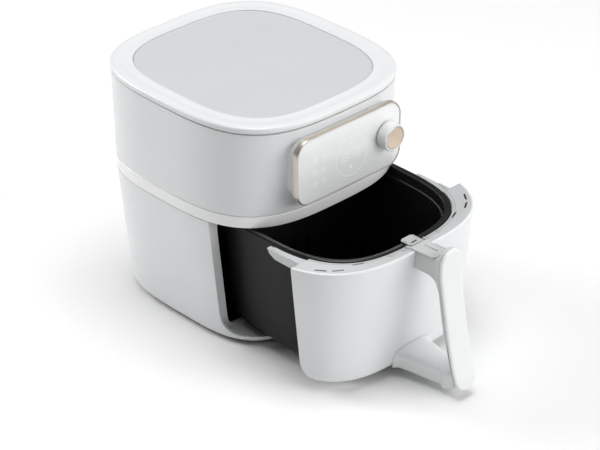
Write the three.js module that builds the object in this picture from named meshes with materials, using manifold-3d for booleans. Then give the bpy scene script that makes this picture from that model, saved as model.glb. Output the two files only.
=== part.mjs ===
// Drawer-type air fryer, in millimetres, +Z up, front towards -Y.
// The body is a rounded-square tower. A drawer with a pan, a lift-out basket and a loop
// handle slides out of its front. The drawer is modelled closed and then set DRAWER_OPEN out.
import * as THREE from "three";
import { mergeVertices } from "three/addons/utils/BufferGeometryUtils.js";
import Module from "manifold-3d";

const wasm = await Module();
wasm.setup();

// ---------------------------------------------------------------- driving dimensions
const RING_POINTS = 40; // points round each plan outline
const GAP = 0.3; // clearance between neighbouring pieces
const WALL = 3; // moulded wall thickness
const DRAWER_OPEN = 147.3; // how far the drawer stands out at rest
const BODY = [
  { z: 4.8, a: 137.6, b: 142.6, n: 3.63 },
  { z: 186, a: 159, b: 159.4, n: 3.09 },
  { z: 320.4, a: 155.4, b: 166.2, n: 3.2 },
]; // plan sections: half width a, half depth b, squareness n
const BODY_BOTTOM = 4.8;
const BAND_BOTTOM = 186.2;
const BAND_TOP = 202.7;
const LID_SEAM = 320.4;
const LID_CREST = 329.5;
const INLAY = { a: 128.3, b: 140.8, n: 3.26 };
const OPENING_Y = -80.5; // front edges of the side walls beside the drawer
const DRAWER_END_Y = -81.5; // rear ends of the drawer front when it is closed
const CAP_TOP = 184;
const PAN_RIM = { a: 127.6, b: 141.6, n: 3 };
const PANEL = { x: 0, z: 264, halfWidth: 91.2, halfHeight: 46.3, corner: 22 };
const PANEL_FRONT_Y = -177.6;
const DIAL = { x: 64.5, z: 268, radius: 18.3 };
const SWITCH = { x: 143.5, z: 177 };
const CORNERS = [[-1, -1], [1, -1], [-1, 1], [1, 1]]; // signs of x and y
const FOOT = { x: 96, y: 102 };
const BASE_SCREW = { x: 112, y: 62 };
const SHIELD_LOW = 219; // heat shield between the cooking chamber and the motor space
const SHIELD_TOP = 220.5;
const GRIP_HALF_WIDTH = 18.3;
const HANDLE_TOP = 201.5;
const HANDLE_BOTTOM = 12;
const HANDLE_FRONT_Y = -241.8; // foremost point of the handle when the drawer is closed
const BACK_Y = 167;
const FRONT_Y = HANDLE_FRONT_Y - DRAWER_OPEN;
const CENTRE_SHIFT = -(BACK_Y + FRONT_Y) / 2; // puts the origin under the middle of the whole object

// ---------------------------------------------------------------- solids and shapes
function toSolid(geometry) {
  const bare = geometry.clone();
  bare.deleteAttribute("normal");
  bare.deleteAttribute("uv");
  const merged = mergeVertices(bare, 1e-4);
  return new wasm.Manifold(new wasm.Mesh({
    numProp: 3,
    vertProperties: new Float32Array(merged.attributes.position.array),
    triVerts: new Uint32Array(merged.index.array),
  }));
}

function toGeometry(solid) {
  const mesh = solid.getMesh();
  const geometry = new THREE.BufferGeometry();
  geometry.setAttribute("position", new THREE.BufferAttribute(new Float32Array(mesh.vertProperties), 3));
  geometry.setIndex(new THREE.BufferAttribute(new Uint32Array(mesh.triVerts), 1));
  return geometry;
}

// A closed solid through a list of rings, each with the same number of points.
function skinRings(rings) {
  const count = rings[0].length;
  const points = rings.flat();
  const middle = (ring) => ring.reduce((sum, p) => sum.add(p), new THREE.Vector3()).divideScalar(count);
  points.push(middle(rings[0]), middle(rings[rings.length - 1]));
  const firstCentre = points.length - 2;
  const lastCentre = points.length - 1;
  const lastRing = (rings.length - 1) * count;
  const faces = [];
  for (let i = 0; i < count; i += 1) {
    const j = (i + 1) % count;
    faces.push([firstCentre, j, i], [lastCentre, lastRing + i, lastRing + j]);
    for (let r = 0; r < lastRing; r += count) {
      faces.push([r + i, r + j, r + count + j], [r + i, r + count + j, r + count + i]);
    }
  }
  const volume = faces.reduce((sum, [p, q, s]) => {
    const cross = points[q].clone().cross(points[s]);
    return sum + points[p].dot(cross);
  }, 0);
  const ordered = volume < 0 ? faces.map(([p, q, s]) => [p, s, q]) : faces;
  const geometry = new THREE.BufferGeometry().setFromPoints(points);
  geometry.setIndex(ordered.flat());
  return toSolid(geometry);
}

// Superellipse ring |x/a|^n + |y/b|^n = 1, level at height z.
function ovalRing({ a, b, n, z }, count) {
  const ring = [];
  for (let i = 0; i < count; i += 1) {
    const t = (2 * Math.PI * i) / count;
    const c = Math.cos(t);
    const s = Math.sin(t);
    const x = a * Math.sign(c) * Math.abs(c) ** (2 / n);
    const y = b * Math.sign(s) * Math.abs(s) ** (2 / n);
    ring.push(new THREE.Vector3(x, y, z));
  }
  return ring;
}

function ovalLoft(sections, count = RING_POINTS) {
  return skinRings(sections.map((section) => ovalRing(section, count)));
}

// Plan section of the body at a height, drawn in by inset.
function bodySection(z, inset = 0) {
  const upper = z > BODY[1].z ? 2 : 1;
  const low = BODY[upper - 1];
  const high = BODY[upper];
  const t = (z - low.z) / (high.z - low.z);
  const mix = (key) => low[key] + (high[key] - low[key]) * t;
  return { a: mix("a") - inset, b: mix("b") - inset, n: mix("n"), z };
}

// Solid with the body's outline: levels are [height, inset] pairs.
function bodySolid(levels, count = RING_POINTS) {
  return ovalLoft(levels.map(([z, inset]) => bodySection(z, inset)), count);
}

function block(x0, x1, y0, y1, z0, z1) {
  const geometry = new THREE.BoxGeometry(x1 - x0, y1 - y0, z1 - z0);
  geometry.translate((x0 + x1) / 2, (y0 + y1) / 2, (z0 + z1) / 2);
  return toSolid(geometry);
}

function upright(radius, x, y, z0, z1, sides = 24, topRadius = radius) {
  const geometry = new THREE.CylinderGeometry(topRadius, radius, z1 - z0, sides);
  geometry.rotateX(Math.PI / 2);
  geometry.translate(x, y, (z0 + z1) / 2);
  return toSolid(geometry);
}

// Cylinder along Y.
function bar(radius, x, z, y0, y1, sides = 24) {
  const geometry = new THREE.CylinderGeometry(radius, radius, y1 - y0, sides);
  geometry.translate(x, (y0 + y1) / 2, z);
  return toSolid(geometry);
}

// Shape drawn in X and Z, extruded from y0 to y1.
function slabXZ(shape, y0, y1, curveSegments = 6) {
  const options = { depth: y1 - y0, bevelEnabled: false, curveSegments };
  const geometry = new THREE.ExtrudeGeometry(shape, options);
  geometry.rotateX(Math.PI / 2);
  geometry.translate(0, y1, 0);
  return toSolid(geometry);
}

// Shape drawn in Y and Z, extruded from -halfWidth to +halfWidth along X.
function slabYZ(shape, halfWidth, curveSegments = 6) {
  const options = { depth: 2 * halfWidth, bevelEnabled: false, curveSegments };
  const geometry = new THREE.ExtrudeGeometry(shape, options);
  const toY = new THREE.Vector3(0, 1, 0);
  const toZ = new THREE.Vector3(0, 0, 1);
  const toX = new THREE.Vector3(1, 0, 0);
  geometry.applyMatrix4(new THREE.Matrix4().makeBasis(toY, toZ, toX));
  geometry.translate(-halfWidth, 0, 0);
  return toSolid(geometry);
}

function polygon(points) {
  return new THREE.Shape(points.map(([u, v]) => new THREE.Vector2(u, v)));
}

function roundedRectangle(halfWidth, halfHeight, radius, x, z) {
  const shape = new THREE.Shape();
  shape.absarc(x + halfWidth - radius, z + halfHeight - radius, radius, 0, Math.PI / 2);
  shape.absarc(x - halfWidth + radius, z + halfHeight - radius, radius, Math.PI / 2, Math.PI);
  shape.absarc(x - halfWidth + radius, z - halfHeight + radius, radius, Math.PI, 1.5 * Math.PI);
  shape.absarc(x + halfWidth - radius, z - halfHeight + radius, radius, 1.5 * Math.PI, 2 * Math.PI);
  shape.closePath();
  return shape;
}

// Solid of revolution about an axis along Y; profile points are [radius, distance forward of baseY].
function turnedY(profile, x, z, baseY, sides = 32) {
  const geometry = new THREE.LatheGeometry(profile.map(([r, h]) => new THREE.Vector2(r, h)), sides);
  geometry.rotateX(Math.PI);
  geometry.translate(x, baseY, z);
  return toSolid(geometry);
}

// Solid of revolution about the vertical axis through x, y; profile points are [radius, height].
function turnedZ(profile, x, y, sides = 32) {
  const geometry = new THREE.LatheGeometry(profile.map(([r, h]) => new THREE.Vector2(r, h)), sides);
  geometry.rotateX(Math.PI / 2);
  geometry.translate(x, y, 0);
  return toSolid(geometry);
}

const FAR = 400; // longer than any cut needs

// ---------------------------------------------------------------- shared outlines
// Side outline of the drawer opening; the drawer front has the same one, set in by the gaps.
function openingOutline(endY, cornerZ, frontZ, top) {
  const shape = new THREE.Shape();
  shape.moveTo(endY, top);
  shape.lineTo(endY, 42);
  shape.bezierCurveTo(endY, 25, endY - 10, cornerZ, endY - 27, cornerZ);
  shape.lineTo(-200, frontZ);
  shape.lineTo(-200, top);
  shape.closePath();
  return shape;
}

// Front view of the bay that the pan slides into, widened by grow.
function bayOutline(grow) {
  const shape = new THREE.Shape();
  const floor = 16 - grow;
  shape.moveTo(-137.5 - grow, 187);
  shape.lineTo(-137.5 - grow, 165);
  shape.lineTo(-123 - grow, 32);
  shape.quadraticCurveTo(-121 - grow, floor, -105, floor);
  shape.lineTo(105, floor);
  shape.quadraticCurveTo(121 + grow, floor, 123 + grow, 32);
  shape.lineTo(137.5 + grow, 165);
  shape.lineTo(137.5 + grow, 187);
  shape.closePath();
  return shape;
}

const panSections = [
  { a: 98, b: 112, n: 3.2, z: 19.2 },
  { a: 103.5, b: 117.5, n: 3.2, z: 21 },
  { a: 107.5, b: 121.5, n: 3.2, z: 26 },
  { a: 109.5, b: 123.5, n: 3.1, z: 34 },
  { a: 125.3, b: 139.3, n: 3, z: 180.2 },
];

// ---------------------------------------------------------------- housing
function lowerHousing() {
  const outer = bodySolid([[BODY_BOTTOM, 6], [6, 3], [8.2, 1.2], [11.5, 0.2], [15, 0], [185.7, 0]]);
  const inner = bodySolid([[3, WALL + 4], [12, WALL], [187, WALL]]);
  const opening = slabYZ(openingOutline(OPENING_Y, 14.4, 12.6, 190), FAR);
  const bulkhead = bodySolid([[8.5, WALL - 1], [185.7, WALL - 1]])
    .intersect(block(-FAR, FAR, OPENING_Y, OPENING_Y + 6, 0, FAR))
    .subtract(slabXZ(bayOutline(0), OPENING_Y - 5, OPENING_Y + 10))
    .subtract(bar(2.4, SWITCH.x, SWITCH.z, OPENING_Y - 5, OPENING_Y + 10, 16));
  const ledge = bodySolid([[8.5, WALL - 1], [11.5, WALL - 1]])
    .intersect(block(-FAR, FAR, -FAR, OPENING_Y + 2, 0, FAR));
  const glandHole = bar(8.3, 70, 30, 120, 170);
  let shell = outer.subtract(inner).subtract(opening).add(bulkhead).add(ledge).subtract(glandHole);
  for (const [sideX, sideY] of CORNERS) {
    const [x, y] = [sideX * BASE_SCREW.x, sideY * BASE_SCREW.y];
    const [low, high] = sideX < 0 ? [x - 35, x + 5] : [x - 5, x + 35];
    const boss = block(low, high, y - 4, y + 4, 8.5, 14)
      .intersect(bodySolid([[8, WALL - 1], [15, WALL - 1]]));
    shell = shell.add(boss).subtract(upright(1.7, x, y, 0, 20, 10));
  }
  return shell;
}

function basePlate() {
  let plate = bodySolid([[6.3, WALL + 4.6], [8.2, WALL + 3.6]]);
  for (let i = -2; i <= 2; i += 1) {
    plate = plate.subtract(block(-30, 30, i * 14 - 3, i * 14 + 3, 0, 20));
  }
  for (const [sideX, sideY] of CORNERS) {
    plate = plate.subtract(upright(1.7, sideX * BASE_SCREW.x, sideY * BASE_SCREW.y, 0, 20, 10));
  }
  return plate;
}

function foot(x, y) {
  return upright(10.5, x, y, 0, 6, 20, 12);
}

function baseScrew(x, y) {
  return upright(3.2, x, y, 4.5, 6, 10).add(upright(1.4, x, y, 5.5, 13.5, 10));
}

function trimBand() {
  const outer = bodySolid([[BAND_BOTTOM, 0.4], [BAND_TOP, 0.4]]);
  const inner = bodySolid([[BAND_BOTTOM - 2, WALL + 0.5], [BAND_TOP + 2, WALL + 0.5]]);
  return outer.subtract(inner);
}

function podRing(halfWidth, halfHeight, radius, y) {
  const shape = roundedRectangle(halfWidth, halfHeight, radius, PANEL.x, PANEL.z);
  return shape.getPoints(5).slice(0, -1).map((p) => new THREE.Vector3(p.x, y, p.y));
}

function upperHousing() {
  const outer = bodySolid([[BAND_TOP + GAP, 0.6], [BAND_TOP + 1.5, 0], [LID_SEAM, 0]]);
  const inner = bodySolid([[BAND_TOP - 2, WALL], [LID_SEAM + 2, WALL]]);
  const pod = skinRings([
    podRing(85, 40.5, 18, -150),
    podRing(85.4, 41, 18, -160),
    podRing(87.5, 43, 20, -166),
    podRing(90.4, 45.6, 21.6, -169.3),
  ]);
  const window = slabXZ(roundedRectangle(79, 35, 14, PANEL.x, PANEL.z), -190, -140);
  const outlet = block(-56, 56, 150, 175, 238, 288);
  return outer.subtract(inner).add(pod).subtract(window).subtract(outlet);
}

function rearGrille() {
  let grille = block(-55.6, 55.6, 159.6, 162.6, 238.4, 287.6);
  for (let i = 0; i < 7; i += 1) {
    const z = 242 + i * 6;
    grille = grille.subtract(block(-50, 50, 150, 170, z, z + 3.4));
  }
  return grille;
}

function cordGland() {
  return bar(8, 70, 30, 136.5, 152, 20).add(bar(11, 70, 30, 143.4, 146, 20));
}

function topCover() {
  const edge = BODY[2];
  const level = (t, z) => ({
    a: edge.a + (INLAY.a - edge.a) * t,
    b: edge.b + (INLAY.b - edge.b) * t,
    n: edge.n + (INLAY.n - edge.n) * t,
    z,
  });
  const shell = ovalLoft([
    level(0.01, LID_SEAM + GAP), level(-0.03, 322.6), level(-0.03, 325.6), level(0.04, 328),
    level(0.28, LID_CREST), level(0.6, 328.5), level(1, 328.5),
  ]);
  const recess = ovalLoft([
    { a: INLAY.a + GAP, b: INLAY.b + GAP, n: INLAY.n, z: 325.9 },
    { a: INLAY.a + GAP, b: INLAY.b + GAP, n: INLAY.n, z: 340 },
  ]);
  const underside = bodySolid([[318, WALL], [323.2, WALL]]);
  return shell.subtract(recess).subtract(underside);
}

function topInlay() {
  const level = (inset, z) => ({ a: INLAY.a - inset, b: INLAY.b - inset, n: INLAY.n, z });
  return ovalLoft([level(0, 326.2), level(0, 327), level(0.6, 327.4)]);
}

// ---------------------------------------------------------------- control panel and dial
// Front view of the panel, drawn in by inset.
function panelOutline(inset) {
  const { halfWidth, halfHeight, corner, x, z } = PANEL;
  return roundedRectangle(halfWidth - inset, halfHeight - inset, corner - inset, x, z);
}

function panelBezel() {
  const shape = panelOutline(0);
  const hole = panelOutline(2.6);
  const frontY = PANEL_FRONT_Y;
  return slabXZ(shape, frontY, -169.6).subtract(slabXZ(hole, frontY - 5, -160));
}

function panelFace() {
  const shape = panelOutline(2.9);
  return slabXZ(shape, PANEL_FRONT_Y + 0.6, -169.6).subtract(bar(6, DIAL.x, DIAL.z, -190, -160, 20));
}

function displayModule() {
  return bar(27, 2, 260, -169.3, -160, 28);
}

function controlBoard() {
  return block(-74, 74, -154, -152.4, 233, 295);
}

function dialEncoder() {
  return bar(9, DIAL.x, DIAL.z, -164, -154.3, 20).subtract(bar(3.4, DIAL.x, DIAL.z, -170, -150, 16));
}

const DIAL_BACK_Y = -178.3;

function dialSkirt() {
  const r = DIAL.radius;
  return turnedY([
    [3.4, 2], [5.5, 2], [5.5, 10.5], [15.6, 10.5], [15.6, 0], [r - 0.4, 0], [r, 0.5], [r, 14.2],
    [r - 0.7, 14.9], [16, 14.9], [16, 12.9], [3.4, 12.9], [3.4, 2],
  ], DIAL.x, DIAL.z, DIAL_BACK_Y);
}

function dialCap() {
  const profile = [[0, 13.2], [15.7, 13.2], [15.7, 14.6], [11, 14.1], [5, 13.8], [0, 13.75]];
  return turnedY(profile, DIAL.x, DIAL.z, DIAL_BACK_Y);
}

function dialShaft() {
  return bar(3, DIAL.x, DIAL.z, DIAL_BACK_Y - 12.6, -156, 16);
}

// ---------------------------------------------------------------- cooking chamber and air path
function chamberLiner() {
  const behind = (solid) => solid.intersect(block(-FAR, FAR, -74.2, FAR, 0, FAR));
  const shell = slabXZ(bayOutline(1.5), -80, 160).intersect(bodySolid([[8, 6], [186, 6], [187, 6]]));
  const bay = slabXZ(bayOutline(0), -80, 160).intersect(bodySolid([[8, 8], [186, 8], [190, 8]]));
  const open = bay.add(block(-130, 130, -60, 100, 180, 195));
  return behind(shell).subtract(open);
}

function guideRail(side) {
  const x = side * 74;
  return block(x - 4, x + 4, -70, 112, 16.3, 18.7);
}

function heatShield() {
  return bodySolid([[SHIELD_LOW, 6], [SHIELD_TOP, 6]]).subtract(upright(5, 0, 0, 210, 230));
}

function heatingElement() {
  const points = [];
  const turns = 2.2;
  const steps = 22;
  for (let i = 0; i <= steps; i += 1) {
    const angle = (2 * Math.PI * turns * i) / steps;
    const radius = 76 + (24 * i) / steps;
    points.push(new THREE.Vector3(radius * Math.cos(angle), radius * Math.sin(angle), 208));
  }
  const path = new THREE.CatmullRomCurve3(points);
  const section = new THREE.Shape();
  section.absarc(0, 0, 3.2, 0, 2 * Math.PI);
  const options = { steps: 44, extrudePath: path, curveSegments: 4, bevelEnabled: false };
  const geometry = new THREE.ExtrudeGeometry(section, options);
  const start = points[0];
  const end = points[steps];
  return toSolid(geometry)
    .add(upright(3, start.x, start.y + 2, 207, SHIELD_LOW - GAP, 10))
    .add(upright(3, end.x, end.y - 2, 207, SHIELD_LOW - GAP, 10));
}

function fanGuard() {
  const ringAt = (r) => {
    const [inner, outer] = [r - 1.5, r + 1.5];
    const profile = [[inner, 195], [outer, 195], [outer, 197], [inner, 197], [inner, 195]];
    return turnedZ(profile, 0, 0, 28);
  };
  let guard = ringAt(40).add(ringAt(108));
  for (let i = 0; i < 3; i += 1) {
    const geometry = new THREE.BoxGeometry(218, 3, 1.6);
    geometry.translate(0, 0, 196);
    geometry.rotateZ((i * Math.PI) / 3);
    guard = guard.add(toSolid(geometry));
  }
  for (const x of [-108, 108]) {
    guard = guard.add(upright(2.5, x, 0, 195.5, SHIELD_LOW - GAP, 10));
  }
  return guard;
}

function impeller(hubRadius, discRadius, discLow, discHigh, bladeLow, bladeHigh, blades) {
  const hub = upright(hubRadius, 0, 0, bladeLow, discHigh, 20);
  let fan = upright(discRadius, 0, 0, discLow, discHigh, 36).add(hub);
  for (let i = 0; i < blades; i += 1) {
    const length = discRadius - hubRadius;
    const geometry = new THREE.BoxGeometry(length, 1.6, bladeHigh - bladeLow);
    geometry.translate(hubRadius + length / 2 - 0.5, 0, (bladeLow + bladeHigh) / 2);
    geometry.rotateZ((2 * Math.PI * i) / blades);
    fan = fan.add(toSolid(geometry));
  }
  return fan.subtract(upright(3.3, 0, 0, discLow - 30, discHigh + 30, 20));
}

function hotAirFan() {
  return impeller(12, 60, 214.6, 216, 203, 215, 10);
}

function coolingFan() {
  return impeller(10, 44, 274, 275.4, 264, 274.4, 8);
}

function fanShaft() {
  return upright(3, 0, 0, 201, 279, 16);
}

function motorBracket() {
  let bracket = block(-48, 48, -48, 48, 229, 231).subtract(upright(6, 0, 0, 220, 240, 20));
  for (const x of [-44, 44]) {
    for (const y of [-44, 44]) {
      bracket = bracket.add(upright(4, x, y, SHIELD_TOP + GAP, 230, 12));
    }
  }
  return bracket;
}

function motor() {
  return upright(31, 0, 0, 231.3, 258, 28).subtract(upright(4, 0, 0, 220, 270, 16));
}

function powerBoard() {
  return block(-55, 55, 70, 135, 296, 297.8);
}

function temperatureSensor() {
  return upright(2.5, 58, -118, 200, SHIELD_LOW - GAP, 10);
}

// ---------------------------------------------------------------- drawer switch
function drawerSwitch() {
  const body = block(140, 147, -74.2, -58, 170.5, 183.5);
  return body.subtract(bar(2.4, SWITCH.x, SWITCH.z, -80, -63.5, 16));
}

function switchPlunger() {
  return bar(2, SWITCH.x, SWITCH.z, -80.9, -67.5, 16);
}

// ---------------------------------------------------------------- drawer
function drawerFront() {
  const outer = bodySolid([[8, 3], [14, 1.5], [17, 0.4], [22, 0], [185, 0]]);
  const inner = bodySolid([[5, WALL], [186, WALL]]);
  const well = bodySolid([[5, 17], [186, 17]]);
  const side = slabYZ(openingOutline(DRAWER_END_Y, 15.6, 14, 181.3), FAR);
  const above = slabYZ(openingOutline(DRAWER_END_Y + 5, 18.6, 17, 190), FAR);
  let front = outer.intersect(side).subtract(inner.intersect(above)).subtract(well);
  for (const x of [-9, 9]) {
    front = front.subtract(bar(2.3, x, 175, -170, -140, 12));
  }
  return front;
}

function drawerRim() {
  const inFront = block(-FAR, FAR, -FAR, DRAWER_END_Y, 0, FAR);
  const cap = bodySolid([[181.6, 0], [183.2, 0], [CAP_TOP, 0.8]]).intersect(inFront);
  const panHole = ovalLoft([{ ...PAN_RIM, a: PAN_RIM.a + GAP, b: PAN_RIM.b + GAP, z: 100 },
    { ...PAN_RIM, a: PAN_RIM.a + GAP, b: PAN_RIM.b + GAP, z: 200 }]);
  let rim = cap.subtract(panHole);
  const slots = [[129.1, -110, -53], [114, -124.8, -33], [85.4, -131, -24]];
  for (const side of [-1, 1]) {
    for (const [x, y, degrees] of slots) {
      const geometry = new THREE.BoxGeometry(15.5, 2.8, 20);
      geometry.rotateZ((-degrees * side * Math.PI) / 180);
      geometry.translate(side * x, y, 182);
      rim = rim.subtract(toSolid(geometry));
    }
    rim = rim.add(wing(side));
    rim = rim.add(block(side * 15 - 2, side * 15 + 2, -150, -143, 183, 185.7));
  }
  const switchTab = block(139, 145.3, -86.5, DRAWER_END_Y, 173, 183);
  return rim.add(switchTab);
}

// Side arm of the drawer rim, beside the pan: a ledge with a skirt below its outer edge.
function wing(side) {
  const span = (inner, outer) => [Math.min(side * inner, side * outer), Math.max(side * inner, side * outer)];
  const [x0, x1] = span(128.3, 135);
  const [s0, s1] = span(133, 135);
  const ledge = block(x0, x1, -90, -22, 178, 180);
  const riser = block(x0, x1, -90, DRAWER_END_Y, 178, 183);
  const skirt = slabYZ(polygon([[-90, 179], [-90, 169], [-34, 169], [-24, 174], [-22, 179]]), FAR)
    .intersect(block(s0, s1, -FAR, 0, 0, FAR));
  return ledge.add(riser).add(skirt);
}

function frontBracket() {
  const panClear = ovalLoft(panSections.map((s) => ({ ...s, a: s.a + GAP, b: s.b + GAP })));
  return block(-40, 40, -160, -110, 60, 150)
    .subtract(block(-37, 37, -170, -100, 63, 147))
    .intersect(bodySolid([[40, WALL + GAP], [160, WALL + GAP]]))
    .subtract(panClear);
}

function pan() {
  const outer = ovalLoft([...panSections, { ...PAN_RIM, z: 181 }, { ...PAN_RIM, z: 182.6 }]);
  const inner = ovalLoft([
    { a: 95, b: 109, n: 3.2, z: 21.2 },
    { a: 102, b: 116, n: 3.2, z: 23.5 },
    { a: 106.8, b: 120.8, n: 3.1, z: 34 },
    { a: 123.3, b: 137.3, n: 3, z: 181 },
    { a: 123.5, b: 137.5, n: 3, z: 190 },
  ]);
  return outer.subtract(inner);
}

// ---------------------------------------------------------------- basket
function basket() {
  const outer = ovalLoft([
    { a: 98.5, b: 112.5, n: 3.2, z: 31 },
    { a: 101.6, b: 115.6, n: 3.2, z: 34 },
    { a: 120.2, b: 134.2, n: 3, z: 182.9 },
    { a: 125.4, b: 139.4, n: 3, z: 183 },
    { a: 125.4, b: 139.4, n: 3, z: 184.2 },
  ]);
  const inner = ovalLoft([
    { a: 99.4, b: 113.4, n: 3.2, z: 33 },
    { a: 118.2, b: 132.2, n: 3, z: 181 },
    { a: 119, b: 133, n: 3, z: 190 },
  ]);
  const drain = ovalLoft([{ a: 90, b: 104, n: 3.2, z: 20 }, { a: 90, b: 104, n: 3.2, z: 50 }]);
  let shell = outer.subtract(inner).subtract(drain);
  for (let i = -3; i <= 3; i += 1) {
    shell = shell.subtract(block(i * 20 - 4, i * 20 + 4, -FAR, FAR, 40, 58));
    shell = shell.subtract(block(-FAR, FAR, i * 22 - 4, i * 22 + 4, 40, 58));
  }
  return shell;
}

function basketLug() {
  return block(-11, 11, -148, -128, 184.5, 185.7).add(block(-7, 7, -148, -142.2, 184.4, 185.6));
}

function basketGrid() {
  const sheet = { a: 98.6, b: 112.6, n: 3.2 };
  let grid = ovalLoft([{ ...sheet, z: 33.3 }, { ...sheet, z: 35.3 }]);
  const margin = 9;
  for (let row = -5; row <= 5; row += 1) {
    for (let column = -2; column <= 2; column += 1) {
      const x = column * 32 + (row % 2 === 0 ? 0 : 16);
      const y = row * 18;
      const reach = (Math.abs(x) + 12) / (sheet.a - margin);
      const depth = (Math.abs(y) + 3.5) / (sheet.b - margin);
      if (reach ** 3.2 + depth ** 3.2 < 1) {
        grid = grid.subtract(block(x - 12, x + 12, y - 3.5, y + 3.5, 30, 40));
      }
    }
  }
  return grid;
}

// ---------------------------------------------------------------- handle
const gripFront = [
  [-207.7, 166], [-211, 146], [-217.5, 112.5], [-224, 79], [-232, 46], [-238, 29],
  [HANDLE_FRONT_Y, HANDLE_BOTTOM],
];
const gripInside = [
  [-230.7, HANDLE_BOTTOM], [-230, 22], [-223.7, 49], [-217.8, 68.5], [-211.9, 88], [-207.7, 108],
  [-201, 145.5], [-198.5, 166], [-197.5, HANDLE_TOP],
];
const COVER = 4; // thickness of the front cover of the grip
const TONGUE_HALF_WIDTH = 14.4; // flat plate on top of the arm

// Front view of the grip: straight sides and round ends.
function gripOutline() {
  const middle = (HANDLE_TOP + HANDLE_BOTTOM) / 2;
  const half = (HANDLE_TOP - HANDLE_BOTTOM) / 2;
  return roundedRectangle(GRIP_HALF_WIDTH, half, GRIP_HALF_WIDTH - 0.01, 0, middle);
}

function gripSlice(points) {
  return slabYZ(polygon(points), 30).intersect(slabXZ(gripOutline(), -260, -180, 8));
}

// Cross-sections along Y: [y, half width, underside, top]. A section is a rounded block with
// its widest line a little above the underside.
function sweepY(stations, squareness, belly, count = 24) {
  return skinRings(stations.map(([y, halfWidth, low, high]) => {
    const section = ovalRing({ a: halfWidth, b: 1, n: squareness, z: 0 }, count);
    const above = high - low - belly;
    return section.map((p) => new THREE.Vector3(p.x, y, low + belly + p.y * (p.y > 0 ? above : belly)));
  }));
}

function handleFrame() {
  const behindCover = gripFront.map(([y, z]) => [y + COVER + GAP, z]);
  const grip = gripSlice([[gripFront[0][0] + COVER + GAP, HANDLE_TOP], ...behindCover, ...gripInside]);
  const arm = sweepY([
    [-154, 13.2, 157, 185.1], [-160, 13.2, 157, 185.1], [-168, 13, 157, 185.3], [-176, 12.6, 156.8, 185.8],
    [-184, 12.4, 155.2, 186], [-190, 12.8, 152.5, 186.6], [-194, 13.8, 149.5, 188.5],
    [-198, 15.6, 145, 192.5], [-203.2, 17.2, 137, 198.5],
  ], 6, 14);
  const tongue = slabYZ(polygon([
    [-150.6, CAP_TOP + GAP], [-150.6, 185.6], [-160.8, 185.6], [-190.5, 188.4], [-190.5, 186.4],
    [-163, CAP_TOP + GAP],
  ]), TONGUE_HALF_WIDTH);
  const front = bodySolid([[100, -0.4], [CAP_TOP + GAP, -0.4]]);
  let frame = grip.add(arm.subtract(front)).add(tongue);
  for (const x of [-9, 9]) {
    frame = frame.subtract(bar(2.3, x, 175, -176, -150, 12));
  }
  return frame;
}

function handleCover() {
  const back = gripFront.map(([y, z]) => [y + COVER, z]).reverse();
  const top = gripFront[0][0];
  return gripSlice([[top, HANDLE_TOP], ...gripFront, ...back, [top + COVER, HANDLE_TOP]]);
}

function handleStrut() {
  const sweep = sweepY([
    [-138, 36, 12.6, 41], [-145, 34, 13.2, 39.5], [-149, 30.5, 13.6, 38], [-154, 28.3, 13.5, 37.3],
    [-160, 26.5, 13.2, 37], [-170, 24, 12.6, 37], [-180, 21.5, 12, 36.8], [-200, 17.3, 11.4, 35.5],
    [-208, 15.6, 11.6, 35], [-213, 17.4, 10.5, 35.2], [-216.5, 18, 10.4, 35.8], [-220, 16.4, 12, 36.5],
    [-226, 15.2, 14, 38], [-232, 15.4, 15, 41],
  ], 4.5, 3);
  const grip = gripInside.slice(0, 4).map(([y, z]) => [y + GAP, z]);
  const beyond = [...grip, [-260, 68.5], [-260, 0], [-230.4, 0]];
  const front = bodySolid([[0, -0.4], [60, -0.4]]);
  return sweep.subtract(slabYZ(polygon(beyond), 60)).subtract(front);
}

function handleScrew(x) {
  return bar(2, x, 175, -174, -154, 12).add(bar(4, x, 175, -154.6, -152.4, 12));
}

// ---------------------------------------------------------------- colours and finishes
const FINISH = {
  white: { color: 0xeceeef, roughness: 0.35, metalness: 0 },
  glossWhite: { color: 0xf4f5f5, roughness: 0.15, metalness: 0 },
  greyPlastic: { color: 0xcfd1d2, roughness: 0.5, metalness: 0 },
  satinGrey: { color: 0xd8dadb, roughness: 0.45, metalness: 0 },
  gold: { color: 0xcbb89f, roughness: 0.3, metalness: 1 },
  nonstick: { color: 0x2d2d2b, roughness: 0.55, metalness: 0.2 },
  darkPlastic: { color: 0x1b1b1b, roughness: 0.6, metalness: 0 },
  rubber: { color: 0x303030, roughness: 0.9, metalness: 0 },
  steel: { color: 0xb9bcbe, roughness: 0.35, metalness: 1 },
  circuit: { color: 0x2f6b3f, roughness: 0.6, metalness: 0 },
};

function part(name, solid, finish) {
  const mesh = new THREE.Mesh(toGeometry(solid), new THREE.MeshStandardMaterial(FINISH[finish]));
  mesh.name = name;
  return mesh;
}

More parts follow.
